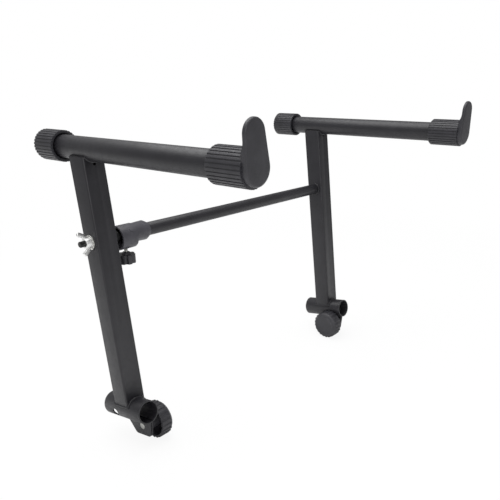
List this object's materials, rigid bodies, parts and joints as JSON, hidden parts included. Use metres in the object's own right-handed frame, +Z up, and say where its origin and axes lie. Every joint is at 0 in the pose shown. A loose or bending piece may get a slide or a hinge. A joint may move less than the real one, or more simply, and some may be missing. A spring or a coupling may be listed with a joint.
{
  "type": "keyboard stand second tier",
  "caption": "Two leaning clamp-on arms with capped support bars and front stops, joined by a telescoping cross bar, as a second tier on a keyboard stand.",
  "frame": {"origin": "centre of the left clamp's bore, halfway along it", "axes": "+X from the left arm to the right arm, +Y away from the player, +Z up"},
  "size_m": [0.5635, 0.3839, 0.4665],
  "materials": {
    "powder_coat": "satin powder coat",
    "ribbed_plastic": "matte, moulded",
    "knob_plastic": "matte, moulded",
    "zinc_plate": "zinc plated",
    "bright_zinc": "bright, cast and plated",
    "tube_steel": "black finished tube",
    "black_oxide": "black oxide",
    "brass_insert": "turned",
    "nylon": "smooth"
  },
  "bodies": {
    "left_arm": {"left_upright": "powder_coat", "left_support_bar": "powder_coat", "left_rear_cap": "ribbed_plastic", "left_clamp_tube": "powder_coat", "left_clamp_ears": "powder_coat", "left_clamp_bolt": "zinc_plate", "friction_washer": "nylon"},
    "cross_tube": {"inner_tube": "tube_steel", "tube_plug": "tube_steel", "pivot_stud": "black_oxide"},
    "right_arm": {"right_upright": "powder_coat", "right_support_bar": "powder_coat", "right_rear_cap": "ribbed_plastic", "right_clamp_tube": "powder_coat", "right_clamp_ears": "powder_coat", "right_clamp_bolt": "zinc_plate", "cross_rod": "powder_coat", "rod_collar": "knob_plastic", "collar_insert": "brass_insert"},
    "wing_washer": {"wing_washer": "zinc_plate"},
    "wing_nut": {"wing_nut": "bright_zinc"},
    "left_knob_washer": {"left_clamp_washer": "zinc_plate"},
    "left_knob": {"left_clamp_knob": "knob_plastic", "left_knob_insert": "brass_insert"},
    "right_knob_washer": {"right_clamp_washer": "zinc_plate"},
    "right_knob": {"right_clamp_knob": "knob_plastic", "right_knob_insert": "brass_insert"},
    "thumb_shoe": {"thumb_shoe": "nylon"},
    "thumb_screw": {"thumb_screw": "zinc_plate", "thumb_knob": "knob_plastic"},
    "left_stop": {"left_stop_cap": "ribbed_plastic"},
    "right_stop": {"right_stop_cap": "ribbed_plastic"}
  },
  "joints": [
    {"name": "arm_pivot", "type": "hinge", "parent": "left_arm", "child": "cross_tube", "pos_m": [0, 0.02846, 0.248], "axis": [1, 0, 0], "continuous": true},
    {"name": "width_slide", "type": "slide", "parent": "cross_tube", "child": "right_arm", "axis": [1, 0, 0], "range_m": [0, 0.18]},
    {"name": "wing_washer_slide", "type": "slide", "parent": "cross_tube", "child": "wing_washer", "axis": [-1, 0, 0], "range_m": [0, 0.0025]},
    {"name": "wing_nut_turn", "type": "hinge", "parent": "wing_washer", "child": "wing_nut", "pos_m": [0, 0.02846, 0.248], "axis": [-1, 0, 0], "range_deg": [0, 721]},
    {"name": "left_washer_slide", "type": "slide", "parent": "left_arm", "child": "left_knob_washer", "axis": [1, 0, 0], "range_m": [0, 0.0025]},
    {"name": "left_knob_turn", "type": "hinge", "parent": "left_knob_washer", "child": "left_knob", "pos_m": [0, -0.0221, -0.02454], "axis": [1, 0, 0], "range_deg": [0, 721]},
    {"name": "right_washer_slide", "type": "slide", "parent": "right_arm", "child": "right_knob_washer", "axis": [-1, 0, 0], "range_m": [0, 0.0025]},
    {"name": "right_knob_turn", "type": "hinge", "parent": "right_knob_washer", "child": "right_knob", "pos_m": [0.51, -0.0221, -0.02454], "axis": [-1, 0, 0], "range_deg": [0, 721]},
    {"name": "shoe_slide", "type": "slide", "parent": "right_arm", "child": "thumb_shoe", "axis": [0, 0, -1], "range_m": [0, 0.0012]},
    {"name": "thumb_turn", "type": "hinge", "parent": "thumb_shoe", "child": "thumb_screw", "pos_m": [0.038, 0.02846, 0.248], "axis": [0, 0, -1], "range_deg": [0, 541]},
    {"name": "left_stop_turn", "type": "hinge", "parent": "left_arm", "child": "left_stop", "pos_m": [0, -0.242, 0.366], "axis": [0, 1, 0], "range_deg": [-90, 90]},
    {"name": "right_stop_turn", "type": "hinge", "parent": "right_arm", "child": "right_stop", "pos_m": [0.51, -0.242, 0.366], "axis": [0, 1, 0], "range_deg": [-90, 90]}
  ],
  "couplings": [
    {"joint": "wing_nut_turn", "follows": "wing_washer_slide", "rad_per_m": 5026.5},
    {"joint": "left_knob_turn", "follows": "left_washer_slide", "rad_per_m": 5026.5},
    {"joint": "right_knob_turn", "follows": "right_washer_slide", "rad_per_m": 5026.5},
    {"joint": "thumb_turn", "follows": "shoe_slide", "rad_per_m": 7854}
  ]
}
